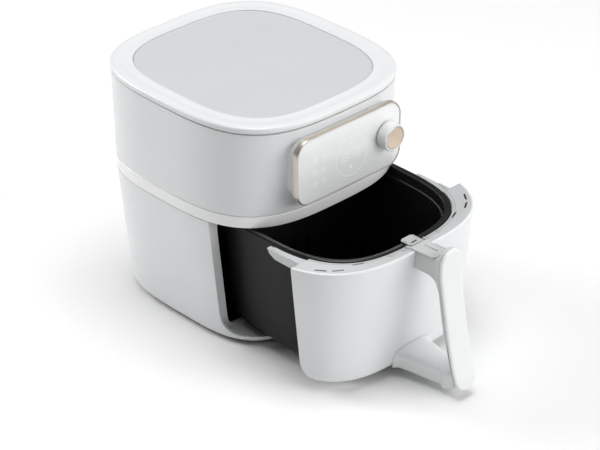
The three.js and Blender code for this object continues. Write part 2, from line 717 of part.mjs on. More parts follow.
// ---------------------------------------------------------------- assembly
const housing = new THREE.Group();
housing.add(
  part("lower_housing", lowerHousing(), "white"),
  part("base_plate", basePlate(), "darkPlastic"),
  part("trim_band", trimBand(), "glossWhite"),
  part("upper_housing", upperHousing(), "white"),
  part("top_cover", topCover(), "white"),
  part("top_inlay", topInlay(), "satinGrey"),
  part("rear_grille", rearGrille(), "greyPlastic"),
  part("cord_gland", cordGland(), "rubber"),
  part("panel_bezel", panelBezel(), "gold"),
  part("panel_face", panelFace(), "glossWhite"),
  part("display_module", displayModule(), "darkPlastic"),
  part("control_board", controlBoard(), "circuit"),
  part("dial_encoder", dialEncoder(), "darkPlastic"),
  part("chamber_liner", chamberLiner(), "nonstick"),
  part("guide_rail_left", guideRail(-1), "darkPlastic"),
  part("guide_rail_right", guideRail(1), "darkPlastic"),
  part("heat_shield", heatShield(), "steel"),
  part("heating_element", heatingElement(), "steel"),
  part("fan_guard", fanGuard(), "steel"),
  part("motor_bracket", motorBracket(), "steel"),
  part("motor", motor(), "steel"),
  part("power_board", powerBoard(), "circuit"),
  part("temperature_sensor", temperatureSensor(), "steel"),
  part("drawer_switch", drawerSwitch(), "darkPlastic"),
  part("switch_plunger", switchPlunger(), "glossWhite"),
);
for (const [sideX, sideY] of CORNERS) {
  const place = `${sideY < 0 ? "front" : "rear"}_${sideX < 0 ? "left" : "right"}`;
  housing.add(part(`foot_${place}`, foot(sideX * FOOT.x, sideY * FOOT.y), "rubber"));
  housing.add(part(`base_screw_${place}`, baseScrew(sideX * BASE_SCREW.x, sideY * BASE_SCREW.y), "steel"));
}

const airMover = new THREE.Group();
airMover.add(
  part("fan_shaft", fanShaft(), "steel"),
  part("hot_air_fan", hotAirFan(), "steel"),
  part("cooling_fan", coolingFan(), "darkPlastic"),
);

const dial = new THREE.Group();
dial.add(
  part("dial_skirt", dialSkirt(), "white"),
  part("dial_cap", dialCap(), "gold"),
  part("dial_shaft", dialShaft(), "steel"),
);

const drawer = new THREE.Group();
drawer.add(
  part("drawer_front", drawerFront(), "white"),
  part("drawer_rim", drawerRim(), "greyPlastic"),
  part("front_bracket", frontBracket(), "greyPlastic"),
  part("pan", pan(), "nonstick"),
  part("basket", basket(), "nonstick"),
  part("basket_lug", basketLug(), "greyPlastic"),
  part("basket_grid", basketGrid(), "nonstick"),
  part("handle_frame", handleFrame(), "greyPlastic"),
  part("handle_cover", handleCover(), "white"),
  part("handle_strut", handleStrut(), "white"),
  part("handle_screw_left", handleScrew(-9), "steel"),
  part("handle_screw_right", handleScrew(9), "steel"),
);
drawer.position.y = -DRAWER_OPEN;

const airFryer = new THREE.Group();
airFryer.add(housing, airMover, dial, drawer);
airFryer.position.y = CENTRE_SHIFT;
airFryer.updateMatrixWorld(true);

export default airFryer;
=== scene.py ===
"""Visual model of a drawer-type air fryer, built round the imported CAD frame.

Lengths in the building code are millimetres. The body is built about its own middle, and
SHIFT_Y moves it to the frame. Drawer pieces are built shut, then moved DRAWER_OPEN out.
"""
import math

import bmesh
import bpy
from mathutils import Matrix, Vector


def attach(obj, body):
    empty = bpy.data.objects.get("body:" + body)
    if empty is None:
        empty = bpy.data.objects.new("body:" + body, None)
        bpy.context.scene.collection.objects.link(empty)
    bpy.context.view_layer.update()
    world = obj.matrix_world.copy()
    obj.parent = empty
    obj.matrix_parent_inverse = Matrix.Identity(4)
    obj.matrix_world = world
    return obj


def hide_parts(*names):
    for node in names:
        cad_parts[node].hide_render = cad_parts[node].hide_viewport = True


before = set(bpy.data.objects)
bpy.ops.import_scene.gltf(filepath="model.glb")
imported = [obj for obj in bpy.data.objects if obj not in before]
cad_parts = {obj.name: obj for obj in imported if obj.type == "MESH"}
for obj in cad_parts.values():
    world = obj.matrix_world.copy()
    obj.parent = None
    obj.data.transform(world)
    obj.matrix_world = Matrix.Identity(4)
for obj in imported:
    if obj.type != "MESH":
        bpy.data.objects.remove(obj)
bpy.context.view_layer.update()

# ------------------------------------------------------------------ driving dimensions
MM = 0.001
SHIFT_Y = 111.05
DRAWER_OPEN = 147.3
GAP = 0.3
WALL = 3.0
# Longer than the object, for tools that cut right through it.
FAR = 400.0
RING_POINTS = 180
# Height, half width, half depth and superellipse exponent of the body at three levels.
BODY = [(4.8, 137.6, 142.6, 3.63), (186.0, 159.0, 159.4, 3.09), (320.4, 155.4, 166.2, 3.2)]
# Half width, half depth and exponent.
INLAY = (128.3, 140.8, 3.26)
PAN_RIM = (127.6, 141.6, 3.0)
BAND_BOTTOM, BAND_TOP = 186.2, 202.7
LID_SEAM, LID_CREST = 320.4, 329.5
OPENING_Y, DRAWER_END_Y = -80.5, -81.5
CAP_TOP = 184.0
BASE_SCREW_X, BASE_SCREW_Y, BASE_SCREW_HOLE = 112, 62, 1.7
PLUNGER_X, PLUNGER_Z, PLUNGER_HOLE = 143.5, 177, 2.4
GLAND_X, GLAND_Z, GLAND_HOLE = 70, 30, 8.3
GRILLE_HALF_WIDTH, GRILLE_BOTTOM, GRILLE_TOP = 56, 238, 288
PANEL_Z, PANEL_BACK_Y, PANEL_FRONT_Y = 264.0, -169.6, -177.6
MARK_BACK_Y, MARK_FRONT_Y = -176.95, -177.12
KEY_COLUMNS, KEY_ROWS, KEY_RADIUS = (-60.5, -45.0), (276.5, 259.5, 243.5), 3.4
DISPLAY_X, DISPLAY_Z, DISPLAY_RADIUS = 3.5, 260, 28
DIAL_X, DIAL_Z, DIAL_RADIUS, DIAL_BACK_Y = 64.5, 268.0, 18.3, -178.3
ARM_INSIDE_X, ARM_OUTSIDE_X, ARM_TOP = 128.3, 135, 180
# How much more the pan and the basket measure from middle to front than from middle to side.
TUB_STRETCH = 14
HANDLE_SCREW_X, HANDLE_SCREW_Z, HANDLE_SCREW_HOLE = 9, 175, 2.3
TONGUE_HALF_WIDTH = 14.4
GRIP_HALF_WIDTH, HANDLE_TOP, HANDLE_BOTTOM = 18.3, 201.5, 12.0
# Height and y of the grip's front and of its rear face.
GRIP_FRONT = [(HANDLE_BOTTOM, -241.8), (29, -238), (46, -232), (79, -224), (112.5, -217.5),
              (146, -211), (166, -207.7), (HANDLE_TOP, -207.7)]
GRIP_INSIDE = [(HANDLE_BOTTOM, -230.7), (22, -230), (49, -223.7), (68.5, -217.8), (88, -211.9),
               (108, -207.7), (145.5, -201), (166, -198.5), (HANDLE_TOP, -197.5)]


# ------------------------------------------------------------------ mesh helpers
def new_object(name, points, faces):
    """Object from points in millimetres, with its faces turned outwards."""
    mesh = bpy.data.meshes.new(name)
    mesh.from_pydata([(x * MM, (y + SHIFT_Y) * MM, z * MM) for x, y, z in points], [], faces)
    made = bpy.data.objects.new(name, mesh)
    bpy.context.collection.objects.link(made)
    edit = bmesh.new()
    edit.from_mesh(mesh)
    bmesh.ops.remove_doubles(edit, verts=edit.verts, dist=1e-7)
    bmesh.ops.recalc_face_normals(edit, faces=edit.faces)
    edit.to_mesh(mesh)
    edit.free()
    return made


def loft(name, rings, closed=False):
    """Solid through rings of equal length. closed joins the last ring to the first."""
    count = len(rings[0])
    points = [point for ring in rings for point in ring]
    faces = []
    pairs = list(zip(range(len(rings) - 1), range(1, len(rings))))
    if closed:
        pairs.append((len(rings) - 1, 0))
    for low, high in pairs:
        for i in range(count):
            j = (i + 1) % count
            faces.append((low * count + i, low * count + j, high * count + j, high * count + i))
    if not closed:
        faces.append(tuple(range(count)))
        faces.append(tuple((len(rings) - 1) * count + i for i in range(count)))
    return new_object(name, points, faces)


def oval(a, b, n, z, count=RING_POINTS):
    """Level superellipse ring."""
    ring = []
    for i in range(count):
        angle = 2 * math.pi * i / count
        c, s = math.cos(angle), math.sin(angle)
        x = a * math.copysign(abs(c) ** (2 / n), c)
        y = b * math.copysign(abs(s) ** (2 / n), s)
        ring.append((x, y, z))
    return ring


def section(z, inset=0.0):
    """Half width, half depth, exponent and height of the body's outline at a height."""
    low, high = (BODY[0], BODY[1]) if z <= BODY[1][0] else (BODY[1], BODY[2])
    t = (z - low[0]) / (high[0] - low[0])
    a, b, n = (low[i] + (high[i] - low[i]) * t for i in (1, 2, 3))
    return a - inset, b - inset, n, z


def body_loft(levels):
    """Solid with the body's outline, drawn in by the inset, through (height, inset) levels."""
    return loft("tool", [oval(*section(z, inset)) for z, inset in levels])


def oval_loft(levels, name="tool"):
    return loft(name, [oval(*level) for level in levels])


def prism(outline, axis, low, high):
    """Outline extruded along x, y or z. It is drawn in the other two axes, in order."""
    order = {
        "x": lambda u, v, w: (w, u, v),
        "y": lambda u, v, w: (u, w, v),
        "z": lambda u, v, w: (u, v, w),
    }
    place = order[axis]
    return loft("tool", [[place(u, v, w) for u, v in outline] for w in (low, high)])


def block(x0, x1, y0, y1, z0, z1):
    return prism([(x0, y0), (x1, y0), (x1, y1), (x0, y1)], "z", z0, z1)


def circle(radius, u, v, sides=48):
    turns = [2 * math.pi * i / sides for i in range(sides)]
    return [(u + radius * math.cos(t), v + radius * math.sin(t)) for t in turns]


def rounded_rectangle(half_u, half_v, radius, u=0.0, v=0.0, steps=12):
    """Outline points, counter-clockwise."""
    points = []
    corners = [(1, 1, 0.0), (-1, 1, 0.5), (-1, -1, 1.0), (1, -1, 1.5)]
    for side_u, side_v, start in corners:
        middle_u = u + side_u * (half_u - radius)
        middle_v = v + side_v * (half_v - radius)
        for i in range(steps + 1):
            angle = math.pi * (start + 0.5 * i / steps)
            points.append((middle_u + radius * math.cos(angle), middle_v + radius * math.sin(angle)))
    return points


def turned_outline(outline, x, y, angle, scale=1.0):
    """Outline scaled and turned about its own middle, then moved to x and y."""
    c, s = math.cos(angle), math.sin(angle)
    return [(x + (u * c - v * s) * scale, y + (u * s + v * c) * scale) for u, v in outline]


def bezier(p0, p1, p2, p3, steps=14):
    """Points of a cubic curve, without its first."""
    points = []
    for i in range(1, steps + 1):
        t = i / steps
        w = [(1 - t) ** 3, 3 * t * (1 - t) ** 2, 3 * t * t * (1 - t), t ** 3]
        points.append(tuple(sum(k * p[c] for k, p in zip(w, (p0, p1, p2, p3))) for c in (0, 1)))
    return points


def smooth_value(knots, at):
    """Cubic curve through sorted (position, value) knots."""
    last = len(knots) - 1
    if at <= knots[0][0]:
        return knots[0][1]
    if at >= knots[last][0]:
        return knots[last][1]
    k = max(i for i in range(last) if knots[i][0] <= at)

    def slope(i):
        before, after = knots[max(i - 1, 0)], knots[min(i + 1, last)]
        return (after[1] - before[1]) / (after[0] - before[0])

    (x0, y0), (x1, y1) = knots[k], knots[k + 1]
    width = x1 - x0
    t = (at - x0) / width
    start = (1 + 2 * t) * (1 - t) ** 2 * y0 + t * (1 - t) ** 2 * width * slope(k)
    end = t * t * (3 - 2 * t) * y1 + t * t * (t - 1) * width * slope(k + 1)
    return start + end


def spread(low, high, count):
    """Evenly spaced values, both ends included."""
    return [low + (high - low) * i / (count - 1) for i in range(count)]


def combine(base, tool, operation):
    """Boolean of two closed objects. The tool is used up."""
    modifier = base.modifiers.new("combine", "BOOLEAN")
    modifier.operation = operation
    modifier.solver = "MANIFOLD"
    modifier.object = tool
    graph = bpy.context.evaluated_depsgraph_get()
    mesh = bpy.data.meshes.new_from_object(base.evaluated_get(graph))
    base.modifiers.clear()
    before = base.data
    base.data = mesh
    bpy.data.meshes.remove(before)
    bpy.data.objects.remove(tool, do_unlink=True)
    return base


def cut(base, tool):
    return combine(base, tool, "DIFFERENCE")


def join(base, tool):
    return combine(base, tool, "UNION")


def common(base, tool):
    return combine(base, tool, "INTERSECT")


def dial_solid(name, profile, sides):
    """Solid turned about the dial's axis from a closed loop of (radius, distance forwards)."""
    rings = []
    for radius, forwards in profile:
        points = circle(max(radius, 0.001), 0, 0, sides)
        rings.append([(DIAL_X + u, DIAL_BACK_Y - forwards, DIAL_Z + v) for u, v in points])
    return loft(name, rings, closed=True)


def rename(made, name):
    made.name = name
    made.data.name = name
    return made


# ------------------------------------------------------------------ materials
COAT_ROUGHNESS = 0.12
GLOSS_SPREAD = 0.12
GRAIN_STRENGTH = 0.35
PATCH_SCALE = 14.0
SPUN_LINES = 6000.0


def node(tree, kind, **values):
    """Shader node. Each value goes to the input of that name, or else to the property."""
    made = tree.nodes.new(kind)
    for key, value in values.items():
        if key in made.inputs:
            made.inputs[key].default_value = value
        else:
            setattr(made, key, value)
    return made


def principled(name, color, roughness, metallic=0.0, coat=0.0, grain=900.0, grain_depth=0.00002,
               edge=0.0005, variation=0.02, anisotropic=0.0, specular=0.5):
    """Plastic, enamel or metal: fine grain in the bump, slow variation in colour and gloss."""
    material = bpy.data.materials.new(name)
    material.use_nodes = True
    tree = material.node_tree
    shader = tree.nodes["Principled BSDF"]
    shader.inputs["Metallic"].default_value = metallic
    shader.inputs["Coat Weight"].default_value = coat
    shader.inputs["Specular IOR Level"].default_value = specular
    shader.inputs["Coat Roughness"].default_value = COAT_ROUGHNESS
    shader.inputs["Anisotropic"].default_value = anisotropic
    place = node(tree, "ShaderNodeTexCoord")
    fine = node(tree, "ShaderNodeTexNoise", Scale=grain, Detail=4.0, Roughness=0.6)
    slow = node(tree, "ShaderNodeTexNoise", Scale=PATCH_SCALE, Detail=2.0, Roughness=0.5)
    tree.links.new(place.outputs["Object"], fine.inputs["Vector"])
    tree.links.new(place.outputs["Object"], slow.inputs["Vector"])
    tint = node(tree, "ShaderNodeValToRGB")
    tint.color_ramp.elements[0].position = 0.3
    tint.color_ramp.elements[1].position = 0.7
    darker = [c * (1 - variation) for c in color]
    tint.color_ramp.elements[0].color = (*darker, 1)
    tint.color_ramp.elements[1].color = (*color, 1)
    tree.links.new(slow.outputs["Fac"], tint.inputs["Fac"])
    tree.links.new(tint.outputs["Color"], shader.inputs["Base Color"])
    gloss = node(tree, "ShaderNodeMapRange")
    gloss.inputs["To Min"].default_value = roughness * (1 - GLOSS_SPREAD)
    gloss.inputs["To Max"].default_value = roughness * (1 + GLOSS_SPREAD)
    tree.links.new(fine.outputs["Fac"], gloss.inputs["Value"])
    tree.links.new(gloss.outputs["Result"], shader.inputs["Roughness"])
    bump = node(tree, "ShaderNodeBump", Strength=GRAIN_STRENGTH, Distance=grain_depth)
    tree.links.new(fine.outputs["Fac"], bump.inputs["Height"])
    if edge > 0:
        soften = node(tree, "ShaderNodeBevel", Radius=edge)
        soften.samples = 4
        tree.links.new(soften.outputs["Normal"], bump.inputs["Normal"])
    tree.links.new(bump.outputs["Normal"], shader.inputs["Normal"])
    return material


def brushed(name, color, roughness, stretch, anisotropic, metallic=1.0):
    """Brushed metal, or metal spun about the piece's own Y axis when there is no stretch."""
    material = principled(name, color, roughness, metallic=metallic, anisotropic=anisotropic,
                          edge=0.0004)
    tree = material.node_tree
    shader = tree.nodes["Principled BSDF"]
    place = node(tree, "ShaderNodeTexCoord")
    if stretch is None:
        flat = node(tree, "ShaderNodeVectorMath", operation="MULTIPLY")
        flat.inputs[1].default_value = (1, 0, 1)
        length = node(tree, "ShaderNodeVectorMath", operation="LENGTH")
        tree.links.new(place.outputs["Object"], flat.inputs[0])
        tree.links.new(flat.outputs["Vector"], length.inputs[0])
        streak = node(tree, "ShaderNodeTexNoise", noise_dimensions="1D", Scale=SPUN_LINES, Detail=2.0)
        tree.links.new(length.outputs["Value"], streak.inputs["W"])
        tangent = node(tree, "ShaderNodeTangent", direction_type="RADIAL", axis="Y")
        tree.links.new(tangent.outputs["Tangent"], shader.inputs["Tangent"])
    else:
        stretched = node(tree, "ShaderNodeMapping")
        stretched.inputs["Scale"].default_value = stretch
        streak = node(tree, "ShaderNodeTexNoise", Scale=1.0, Detail=3.0)
        tree.links.new(place.outputs["Object"], stretched.inputs["Vector"])
        tree.links.new(stretched.outputs["Vector"], streak.inputs["Vector"])
    bump = next(n for n in tree.nodes if n.bl_idname == "ShaderNodeBump")
    tree.links.new(streak.outputs["Fac"], bump.inputs["Height"])
    return material


white = principled(
    "white_plastic", (0.80, 0.815, 0.825), 0.34, coat=0.15, grain=1400, grain_depth=0.000012)
handle_grey = principled(
    "handle_grey", (0.66, 0.672, 0.675), 0.34, coat=0.15, grain=1400, grain_depth=0.000012)
handle_white = principled(
    "handle_white", (0.84, 0.85, 0.855), 0.3, coat=0.2, grain=1400, grain_depth=0.00001)
# The band's white is whiter than the housing plastic: partly its own glossy white, partly painted
# highlight for the light the band catches.
gloss_white = principled(
    "gloss_white", (0.92, 0.925, 0.93), 0.12, coat=0.5, grain=600, grain_depth=0.000004)
panel_white = principled(
    "panel_white", (0.88, 0.89, 0.895), 0.16, coat=0.6, grain=600, grain_depth=0.000004)
mark_white = principled(
    "mark_white", (0.95, 0.95, 0.95), 0.3, edge=0, grain=600, grain_depth=0.000004)
inlay_grey = principled(
    "inlay_grey", (0.62, 0.63, 0.645), 0.38, coat=0.1, grain=1800, grain_depth=0.000015)
cap_grey = principled(
    "cap_grey", (0.56, 0.575, 0.58), 0.42, grain=1500, grain_depth=0.00002)
dull_grey = principled(
    "dull_grey", (0.36, 0.37, 0.375), 0.5, grain=1200, grain_depth=0.00003)
nonstick = principled(
    "nonstick", (0.011, 0.011, 0.0105), 0.5, grain=1600, grain_depth=0.00004, variation=0.2,
    specular=0.2)
grid_black = principled(
    "nonstick_grid", (0.03, 0.03, 0.029), 0.42, grain=1600, grain_depth=0.00004, variation=0.2)
enamel = principled(
    "nonstick_gloss", (0.016, 0.016, 0.0155), 0.24, coat=0.35, grain=1600, grain_depth=0.00002)
black = principled(
    "black_plastic", (0.012, 0.012, 0.012), 0.55, grain=1000, grain_depth=0.00004)
rubber = principled(
    "rubber", (0.02, 0.02, 0.02), 0.8, grain=700, grain_depth=0.00006)
board = principled(
    "circuit_board", (0.02, 0.12, 0.05), 0.4, grain=500, grain_depth=0.00003, variation=0.3)
gold = brushed("champagne_metal", (0.66, 0.60, 0.53), 0.36, (60, 2500, 2500), 0.3, metallic=0.7)
spun_gold = brushed("spun_champagne", (0.64, 0.535, 0.42), 0.22, None, 0.9)
steel = brushed("steel", (0.5, 0.51, 0.52), 0.34, (2500, 2500, 80), 0.3)


CRISP_ANGLE = 33


def piece(made, body, material, replaced=(), open_drawer=False):
    """Finishes a piece: material, smooth shading with crisp edges, body, and hides the CAD parts it
    stands for.
    """
    if open_drawer:
        made.data.transform(Matrix.Translation((0, -DRAWER_OPEN * MM, 0)))
    made.data.materials.clear()
    made.data.materials.append(material)
    made.data.shade_smooth()
    made.data.set_sharp_from_angle(angle=math.radians(CRISP_ANGLE))
    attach(made, body)
    if replaced:
        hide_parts(*replaced)
    return made


# ------------------------------------------------------------------ outlines shared by several pieces
def opening_outline(end_y, corner_z, front_z, top):
    """Side view of the drawer opening. The drawer front has the same form, set in by the gaps."""
    start = (end_y, 42)
    bend = bezier(start, (end_y, 25), (end_y - 10, corner_z), (end_y - 27, corner_z))
    return [(end_y, top), start, *bend, (-200, front_z), (-200, top)]


def bay_outline(grow):
    """Front view of the bay that the pan slides into."""
    floor = 16 - grow
    right = bezier((105, floor), (115 + grow * 0.7, floor), (121.5 + grow, 21), (123 + grow, 32), 8)
    side = [(105, floor), *right, (137.5 + grow, 165), (137.5 + grow, 187)]
    return side + [(-x, z) for x, z in reversed(side)]


# ------------------------------------------------------------------ housing
def lower_housing():
    """Open-fronted shell, with a bulkhead behind the drawer front and bosses for the screws."""
    bottom = [(4.8, 6.4), (5.0, 5.2), (5.7, 3.8), (6.8, 2.6), (8.4, 1.5), (10.4, 0.7), (13, 0.2),
              (16, 0)]
    top = [(184.8, 0), (185.3, 0.15), (185.7, 0.5)]
    shell = body_loft([*bottom, *[(z, 0) for z in spread(30, 175, 12)], *top])
    cut(shell, body_loft([(3, WALL + 5), (12, WALL), (60, WALL), (120, WALL), (187, WALL)]))
    cut(shell, prism(opening_outline(OPENING_Y, 14.4, 12.6, 190), "x", -FAR, FAR))
    bulkhead = body_loft([(8.5, WALL - 1), (60, WALL - 1), (120, WALL - 1), (185.7, WALL - 1)])
    common(bulkhead, block(-FAR, FAR, OPENING_Y, OPENING_Y + 6, 0, FAR))
    cut(bulkhead, prism(bay_outline(0), "y", OPENING_Y - 5, OPENING_Y + 10))
    plunger_hole = circle(PLUNGER_HOLE, PLUNGER_X, PLUNGER_Z, 24)
    cut(bulkhead, prism(plunger_hole, "y", OPENING_Y - 5, OPENING_Y + 10))
    join(shell, bulkhead)
    ledge = body_loft([(8.5, WALL - 1), (11.5, WALL - 1)])
    common(ledge, block(-FAR, FAR, -FAR, OPENING_Y + 2, 0, FAR))
    join(shell, ledge)
    for sign_x in (-1, 1):
        for sign_y in (-1, 1):
            x, y = sign_x * BASE_SCREW_X, sign_y * BASE_SCREW_Y
            reach = sorted((x - sign_x * 5, x + sign_x * 35))
            boss = block(*reach, y - 4, y + 4, 8.5, 14)
            join(shell, common(boss, body_loft([(8, WALL - 1), (15, WALL - 1)])))
            cut(shell, prism(circle(BASE_SCREW_HOLE, x, y, 16), "z", 0, 20))
    cut(shell, prism(circle(GLAND_HOLE, GLAND_X, GLAND_Z), "y", 120, 170))
    return rename(shell, "housing_lower")


def trim_band():
    """Ring with softly rounded edges. edge holds (distance from the end, inset)."""
    edge = [(0, 1.1), (0.2, 0.55), (0.6, 0.2), (1.2, 0.05)]
    low = [(BAND_BOTTOM + z, inset) for z, inset in edge]
    high = [(BAND_TOP - z, inset) for z, inset in reversed(edge)]
    inner = [(BAND_TOP, WALL + 0.5), (BAND_BOTTOM, WALL + 0.5)]
    rings = [oval(*section(z, inset)) for z, inset in [*low, *high, *inner]]
    return loft("housing_band", rings, closed=True)


def panel_ring(half_x, half_z, radius, y):
    """Upright rounded rectangle about the panel's middle."""
    return [(x, y, z) for x, z in rounded_rectangle(half_x, half_z, radius, 0, PANEL_Z)]


def pod():
    """Raised flare that carries the control panel."""
    stations = [(-150, 86.5, 42), (-156, 86.3, 41.8), (-160, 86.3, 41.8), (-163, 86.9, 42.4),
                (-165.5, 88, 43.4), (-167.5, 89.3, 44.7), (-168.8, 90.4, 45.7), (-169.3, 90.6, 45.9)]
    return loft("tool", [panel_ring(half_x, half_z, 21.5, y) for y, half_x, half_z in stations])


def upper_housing():
    """Shell with the panel's pod, hollow behind the panel. Its rear is open for the grille."""
    low = [(BAND_TOP + GAP, 0.9), (BAND_TOP + 0.6, 0.4), (BAND_TOP + 1.3, 0.1), (BAND_TOP + 2.2, 0)]
    high = [(LID_SEAM - 2.4, 0), (LID_SEAM - 1.7, 0.15), (LID_SEAM - 1.3, 0.6)]
    shell = body_loft([*low, *[(z, 0) for z in spread(210, 312, 10)], *high])
    cut(shell, body_loft([(BAND_TOP - 2, WALL), (LID_SEAM + 2, WALL)]))
    join(shell, pod())
    cut(shell, prism(rounded_rectangle(79, 35, 14, 0, PANEL_Z), "y", -190, -140))
    cut(shell, block(-GRILLE_HALF_WIDTH, GRILLE_HALF_WIDTH, 150, 175, GRILLE_BOTTOM, GRILLE_TOP))
    return rename(shell, "housing_upper")


def top_cover():
    """Lid ring: rounded outer edge, a crest, a shallow valley, then a crest round the inlay.

    A knot is its number, its place across (0 at the body's edge, 1 at the inlay) and its height.
    """
    knots = [(0, 0.03, 320.7), (0.6, 0.0, 321.0), (1, -0.02, 321.8), (2, -0.032, 323.6),
             (3, -0.03, 325.6), (4, 0.0, 327.5), (5, 0.06, 328.7), (6, 0.15, 329.35),
             (7, 0.27, LID_CREST), (8, 0.42, 329.0), (9, 0.58, 328.45), (10, 0.74, 328.55),
             (11, 0.88, 328.8), (12, 0.95, 328.7), (13, 1.0, 328.1)]
    across = [(k, t) for k, t, _ in knots]
    height = [(k, z) for k, _, z in knots]
    edge = BODY[2]
    rings = []
    for k in spread(0, knots[-1][0], 53):
        t = smooth_value(across, k)
        z = min(smooth_value(height, k), LID_CREST)
        a, b, n = (edge[i + 1] + (INLAY[i] - edge[i + 1]) * t for i in range(3))
        rings.append(oval(a, b, n, z))
    lid = loft("lid_ring", rings)
    recess = (INLAY[0] + GAP, INLAY[1] + GAP, INLAY[2])
    cut(lid, oval_loft([(*recess, 325.9), (*recess, 340)]))
    cut(lid, body_loft([(318, WALL), (323.2, WALL)]))
    return lid


def top_inlay():
    levels = [(0.3, 326.2), (0, 326.4), (0, 326.9), (0.15, 327.2), (0.5, 327.38), (1.2, 327.4)]
    return oval_loft([(INLAY[0] - i, INLAY[1] - i, INLAY[2], z) for i, z in levels], "lid_inlay")


def panel_bezel():
    """Metal frame of the panel: rounded front edge, thin inner lip."""
    outer = [(PANEL_BACK_Y, 0.4), (-170.0, 0), (-174.2, 0), (-176.2, 0.25), (-177.2, 0.7),
             (PANEL_FRONT_Y, 1.3)]
    inner = [(PANEL_FRONT_Y, 1.6), (-177.3, 1.9), (PANEL_BACK_Y, 1.9)]
    rings = [panel_ring(91.2 - inset, 46.3 - inset, 22 - inset, y) for y, inset in [*outer, *inner]]
    return loft("panel_frame", rings, closed=True)


def panel_face():
    levels = [(PANEL_BACK_Y, 0), (-176.4, 0), (-176.85, 0.25), (-177.0, 0.7)]
    rings = [panel_ring(89 - inset, 44.1 - inset, 19.8 - inset, y) for y, inset in levels]
    face = loft("panel_plate", rings)
    return cut(face, prism(circle(6, DIAL_X, DIAL_Z), "y", -190, -160))


def flat_mark(outline, hole=None):
    """Thin raised mark on the panel face."""
    mark = prism(outline, "y", MARK_FRONT_Y, MARK_BACK_Y)
    if hole:
        cut(mark, prism(hole, "y", -177.5, -176.5))
    return mark


def ring_mark(radius, width, x, z, sides):
    return flat_mark(circle(radius, x, z, sides), circle(radius - width, x, z, sides))


def bar_mark(half_x, half_z, x, z):
    """Bar whose ends are rounded nearly to half its thickness."""
    return flat_mark(rounded_rectangle(half_x, half_z, min(half_x, half_z) - 0.05, x, z, 3))


def panel_marks():
    """Plain symbols for six touch keys, and a display ring with two digits made of bars."""
    marks = ring_mark(DISPLAY_RADIUS, 0.9, DISPLAY_X, DISPLAY_Z, 96)
    shapes = []
    for row, z in enumerate(KEY_ROWS):
        for column, x in enumerate(KEY_COLUMNS):
            shapes.append(ring_mark(KEY_RADIUS, 0.7, x, z, 32))
            if (row + column) % 2:
                shapes.append(bar_mark(1.2, 0.35, x, z))
            else:
                shapes.append(flat_mark(circle(0.9, x, z, 20)))
    digit_z, bar, post = 261, 0.5, 4.2
    for digit_x in (-8, 12):
        shapes.append(bar_mark(3.6, bar, digit_x, digit_z))
        for sign in (-1, 1):
            shapes.append(bar_mark(5, bar, digit_x, digit_z + sign * 5))
            shapes.append(bar_mark(bar, post, digit_x + sign * 5.5, digit_z))
    shapes.append(flat_mark(circle(1.6, 2, 279, 24)))
    shapes.append(flat_mark(circle(2.2, 2, 245, 24)))
    for shape in shapes:
        join(marks, shape)
    return rename(marks, "panel_marks")


def dial_skirt():
    """Knob, hollow at the back round its hub, with a seat for the disc in front."""
    r = DIAL_RADIUS
    hub = [(3.4, 2), (5.5, 2), (5.5, 10.5), (15.6, 10.5), (15.6, 0)]
    outside = [(r - 1.0, 0), (r - 0.4, 0.2), (r, 0.8), (r, 13.2), (r - 0.25, 14.2), (r - 0.9, 14.8),
               (r - 1.5, 14.9)]
    seat = [(15.5, 14.8), (15.1, 14.4), (15.0, 12.9), (3.4, 12.9)]
    return dial_solid("dial_body", [*hub, *outside, *seat], 96)


def dial_cap():
    """Spun metal disc, a shallow cone inside its rim. Its origin is on the dial's axis."""
    front = [(14.7, 14.2), (14.3, 14.5), (13.9, 14.4), (10, 13.9), (5, 13.3), (1.2, 12.95), (0, 12.93)]
    profile = [(0, 12.4), (14.7, 12.4), *front]
    disc = dial_solid("dial_disc", profile, 128)
    middle = Vector((DIAL_X, DIAL_BACK_Y + SHIFT_Y, DIAL_Z)) * MM
    disc.data.transform(Matrix.Translation(-middle))
    disc.location = middle
    return disc


# ------------------------------------------------------------------ drawer
def drawer_front():
    """White front shell, with a rounded lip that stands up round the grey cap."""
    bottom = [(13.9, 6.5), (14.3, 5), (15.2, 3.4), (16.8, 1.9), (19, 0.8), (21.5, 0.2), (24, 0)]
    top = [(181.2, 0), (182.3, 0.15), (183.2, 0.6), (183.75, 1.3), (CAP_TOP, 2.1), (CAP_TOP, 2.6)]
    outer = body_loft([*bottom, *[(z, 0) for z in spread(36, 176, 12)], *top])
    common(outer, prism(opening_outline(DRAWER_END_Y, 15.6, 14, 190), "x", -FAR, FAR))
    inner = body_loft([(5, WALL), (60, WALL), (120, WALL), (188, WALL)])
    common(inner, prism(opening_outline(DRAWER_END_Y + 5, 18.6, 17, 192), "x", -FAR, FAR))
    cut(outer, inner)
    cut(outer, body_loft([(5, 17), (60, 17), (120, 17), (188, 17)]))
    for x in (-HANDLE_SCREW_X, HANDLE_SCREW_X):
        hole = circle(HANDLE_SCREW_HOLE, x, HANDLE_SCREW_Z, 20)
        cut(outer, prism(hole, "y", -170, -140))
    return rename(outer, "drawer_shell")


def side_arm(side):
    """Ledge beside the pan, with a skirt whose rear corner is cut away, a gusset and a shelf."""
    inside, outside = side * ARM_INSIDE_X, side * ARM_OUTSIDE_X
    arm = block(*sorted((inside, outside)), -90, -22, ARM_TOP - 2, ARM_TOP)
    join(arm, block(*sorted((inside, side * 138)), -90, -82.4, 177, 182.9))
    skirt = [(-90, 179.9), (-90, 169), (-36, 169), (-26, 173.6), (-22, 179.9)]
    join(arm, prism(skirt, "x", *sorted((side * 133, outside))))
    gusset = [(inside, -84), (side * 134, -84), (side * 134.9, -60), (side * 132, -60)]
    join(arm, prism(gusset, "z", 179.5, 181.4))
    shelf = [(side * 112, -83), (side * 133, -83), (side * 133, -28), (side * 126, -28)]
    return join(arm, prism(shelf, "z", 179.2, 180.6))


